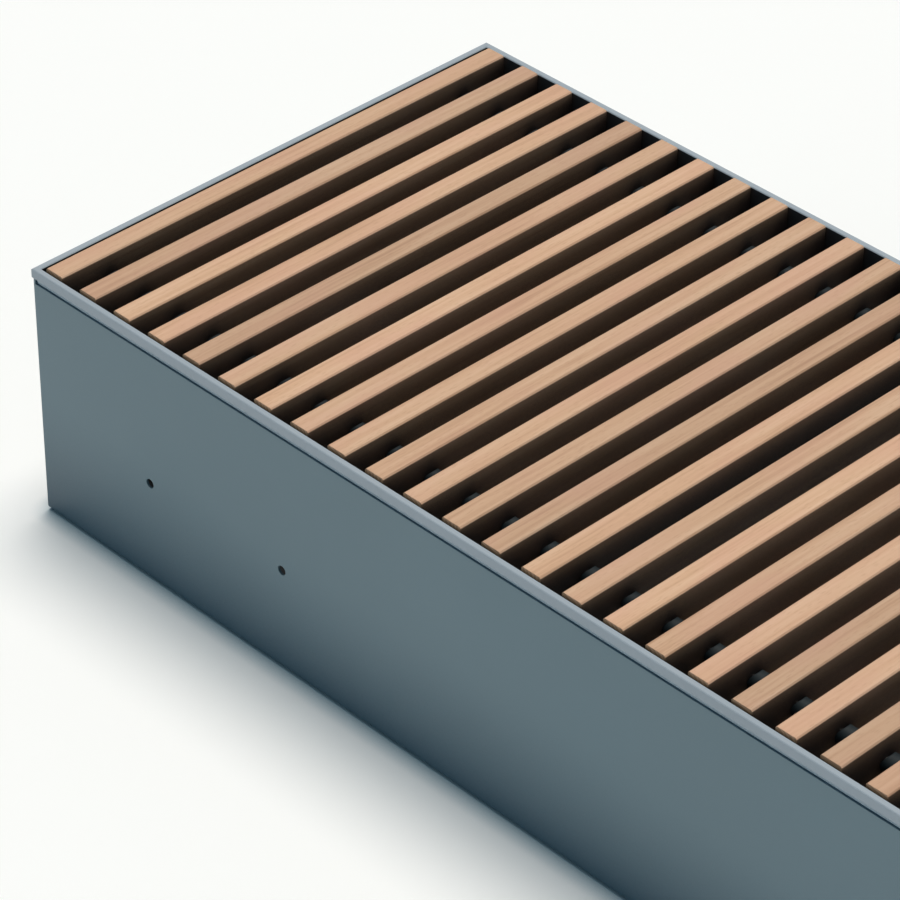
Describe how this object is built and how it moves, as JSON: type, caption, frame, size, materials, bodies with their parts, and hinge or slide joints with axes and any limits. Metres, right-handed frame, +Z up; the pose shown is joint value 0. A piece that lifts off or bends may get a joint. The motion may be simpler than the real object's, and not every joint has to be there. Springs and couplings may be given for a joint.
{
  "type": "trench convector heater",
  "caption": "Long sheet-metal floor trench box with a finned hot-water exchanger inside, a lipped top frame and a roll-up grille of crosswise wooden slats.",
  "frame": {"origin": "middle of the underside, on the floor", "axes": "+X along the length away from the pipe connections, +Y across towards the back wall with the baffle, +Z up"},
  "size_m": [0.8006, 0.249, 0.1178],
  "materials": {
    "casing_paint": "satin blue-grey powder coat outside, dark coat inside",
    "frame_paint": "light blue-grey powder coat on aluminium",
    "slat_wood": "oiled light beech",
    "spacer_plastic": "moulded grey-blue",
    "black_rubber": "matt",
    "zinc_steel": "galvanised",
    "bright_steel": "bright",
    "fin_aluminium": "thin rolled sheet",
    "copper": null,
    "brass": "machined",
    "nickel": "nickel-plated brass",
    "white_plastic": "moulded"
  },
  "bodies": {
    "casing": {"trough": "casing_paint", "end_plate_left": "casing_paint", "end_plate_right": "casing_paint", "frame_front": "frame_paint", "frame_back": "frame_paint", "frame_left": "frame_paint", "frame_right": "frame_paint", "end_angles": "casing_paint", "seat_rails": "zinc_steel", "corner_keys": "zinc_steel", "corner_rivets": "bright_steel", "seat_strips": "black_rubber", "cross_braces": "zinc_steel", "heat_fins": "fin_aluminium", "copper_tubes": "copper", "return_bends": "copper", "end_sheet_left": "zinc_steel", "end_sheet_right": "zinc_steel", "foot_pads": "black_rubber", "foot_screws": "bright_steel", "supply_header": "brass", "return_header": "brass", "air_baffle": "zinc_steel", "supply_valve": "nickel", "return_valve": "nickel", "union_nuts": "nickel", "pipe_grommets": "black_rubber", "rivet_nuts": "bright_steel"},
    "level_screw_1": {"level_screw_1": "bright_steel"},
    "level_screw_2": {"level_screw_2": "bright_steel"},
    "level_screw_3": {"level_screw_3": "bright_steel"},
    "level_screw_4": {"level_screw_4": "bright_steel"},
    "bleed_screw": {"bleed_screw": "nickel"},
    "supply_handwheel": {"supply_handwheel": "white_plastic"},
    "lockshield_cap": {"lockshield_cap": "white_plastic"},
    "panel": {"panel_slats": "slat_wood", "panel_spacers": "spacer_plastic", "tension_springs": "bright_steel", "panel_ferrules": "bright_steel"},
    "link_01": {"roll_slat_01": "slat_wood", "roll_spacers_01": "spacer_plastic"},
    "link_02": {"roll_slat_02": "slat_wood", "roll_spacers_02": "spacer_plastic"},
    "link_03": {"roll_slat_03": "slat_wood", "roll_spacers_03": "spacer_plastic"},
    "link_04": {"roll_slat_04": "slat_wood", "roll_spacers_04": "spacer_plastic"},
    "link_05": {"roll_slat_05": "slat_wood", "roll_spacers_05": "spacer_plastic"},
    "link_06": {"roll_slat_06": "slat_wood", "roll_spacers_06": "spacer_plastic"},
    "link_07": {"roll_slat_07": "slat_wood", "roll_spacers_07": "spacer_plastic"},
    "link_08": {"roll_slat_08": "slat_wood", "roll_spacers_08": "spacer_plastic"},
    "link_09": {"roll_slat_09": "slat_wood", "roll_spacers_09": "spacer_plastic"},
    "link_10": {"roll_slat_10": "slat_wood", "roll_spacers_10": "spacer_plastic", "roll_ferrules": "bright_steel"}
  },
  "joints": [
    {"name": "level_1", "type": "slide", "parent": "casing", "child": "level_screw_1", "axis": [0, 0, -1], "range_m": [0, 0.025]},
    {"name": "level_2", "type": "slide", "parent": "casing", "child": "level_screw_2", "axis": [0, 0, -1], "range_m": [0, 0.025]},
    {"name": "level_3", "type": "slide", "parent": "casing", "child": "level_screw_3", "axis": [0, 0, -1], "range_m": [0, 0.025]},
    {"name": "level_4", "type": "slide", "parent": "casing", "child": "level_screw_4", "axis": [0, 0, -1], "range_m": [0, 0.025]},
    {"name": "bleed_turn", "type": "hinge", "parent": "casing", "child": "bleed_screw", "pos_m": [-0.2326, 0.03, 0.071], "axis": [0, 0, 1], "range_deg": [0, 450]},
    {"name": "handwheel_turn", "type": "hinge", "parent": "casing", "child": "supply_handwheel", "pos_m": [-0.2886, -0.03, 0.062], "axis": [0, 0, 1], "range_deg": [0, 540]},
    {"name": "lockshield_cap_lift", "type": "slide", "parent": "casing", "child": "lockshield_cap", "axis": [0, 0, 1], "range_m": [0, 0.02]},
    {"name": "grille_lift", "type": "slide", "parent": "casing", "child": "panel", "axis": [0, 0, 1], "range_m": [0, 0.12]},
    {"name": "roll_01", "type": "hinge", "parent": "panel", "child": "link_01", "pos_m": [-0.20028, 0, 0.1063], "axis": [0, 1, 0], "range_deg": [0, 27]},
    {"name": "roll_02", "type": "hinge", "parent": "link_01", "child": "link_02", "pos_m": [-0.22031, 0, 0.1063], "axis": [0, 1, 0], "range_deg": [0, 27]},
    {"name": "roll_03", "type": "hinge", "parent": "link_02", "child": "link_03", "pos_m": [-0.24034, 0, 0.1063], "axis": [0, 1, 0], "range_deg": [0, 27]},
    {"name": "roll_04", "type": "hinge", "parent": "link_03", "child": "link_04", "pos_m": [-0.26037, 0, 0.1063], "axis": [0, 1, 0], "range_deg": [0, 27]},
    {"name": "roll_05", "type": "hinge", "parent": "link_04", "child": "link_05", "pos_m": [-0.2804, 0, 0.1063], "axis": [0, 1, 0], "range_deg": [0, 27]},
    {"name": "roll_06", "type": "hinge", "parent": "link_05", "child": "link_06", "pos_m": [-0.30042, 0, 0.1063], "axis": [0, 1, 0], "range_deg": [0, 27]},
    {"name": "roll_07", "type": "hinge", "parent": "link_06", "child": "link_07", "pos_m": [-0.32045, 0, 0.1063], "axis": [0, 1, 0], "range_deg": [0, 27]},
    {"name": "roll_08", "type": "hinge", "parent": "link_07", "child": "link_08", "pos_m": [-0.34048, 0, 0.1063], "axis": [0, 1, 0], "range_deg": [0, 27]},
    {"name": "roll_09", "type": "hinge", "parent": "link_08", "child": "link_09", "pos_m": [-0.36051, 0, 0.1063], "axis": [0, 1, 0], "range_deg": [0, 27]},
    {"name": "roll_10", "type": "hinge", "parent": "link_09", "child": "link_10", "pos_m": [-0.38054, 0, 0.1063], "axis": [0, 1, 0], "range_deg": [0, 27]}
  ],
  "couplings": [
    {"joint": "roll_02", "follows": "roll_01", "ratio": 1},
    {"joint": "roll_03", "follows": "roll_01", "ratio": 1},
    {"joint": "roll_04", "follows": "roll_01", "ratio": 1},
    {"joint": "roll_05", "follows": "roll_01", "ratio": 1},
    {"joint": "roll_06", "follows": "roll_01", "ratio": 1},
    {"joint": "roll_07", "follows": "roll_01", "ratio": 1},
    {"joint": "roll_08", "follows": "roll_01", "ratio": 1},
    {"joint": "roll_09", "follows": "roll_01", "ratio": 1},
    {"joint": "roll_10", "follows": "roll_01", "ratio": 1}
  ]
}
